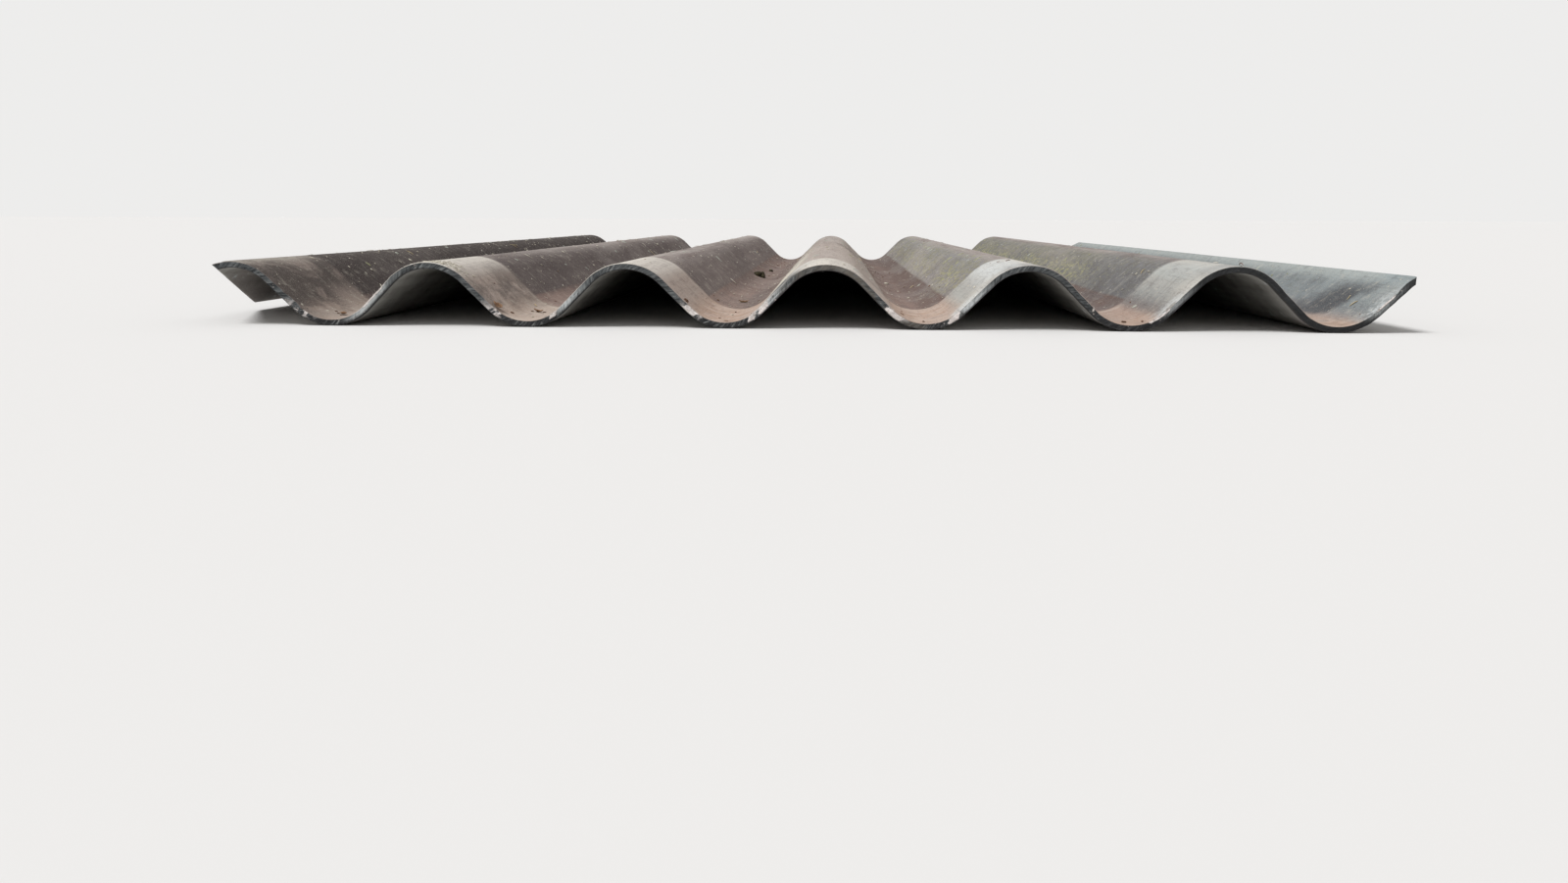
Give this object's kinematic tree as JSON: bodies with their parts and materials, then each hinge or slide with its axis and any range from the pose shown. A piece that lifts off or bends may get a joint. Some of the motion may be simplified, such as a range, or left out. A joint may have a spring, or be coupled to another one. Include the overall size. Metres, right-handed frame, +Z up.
{
  "type": "corrugated fibre-cement roofing sheet",
  "caption": "Weathered fibre-cement roofing sheet with a rounded wave profile, one low and one high long edge, and two opposite corners cut off for lapping.",
  "frame": {"origin": "middle of the sheet's footprint, on the level that its valleys rest on", "axes": "+X across the waves, towards the high long edge; +Y along the waves, away from the front end; +Z up, out of the weather side"},
  "size_m": [1.097, 1.525, 0.0568],
  "materials": {
    "fibre_cement": "rough, weathered"
  },
  "bodies": {
    "root": {"corrugated_sheet": "fibre_cement"}
  },
  "joints": []
}
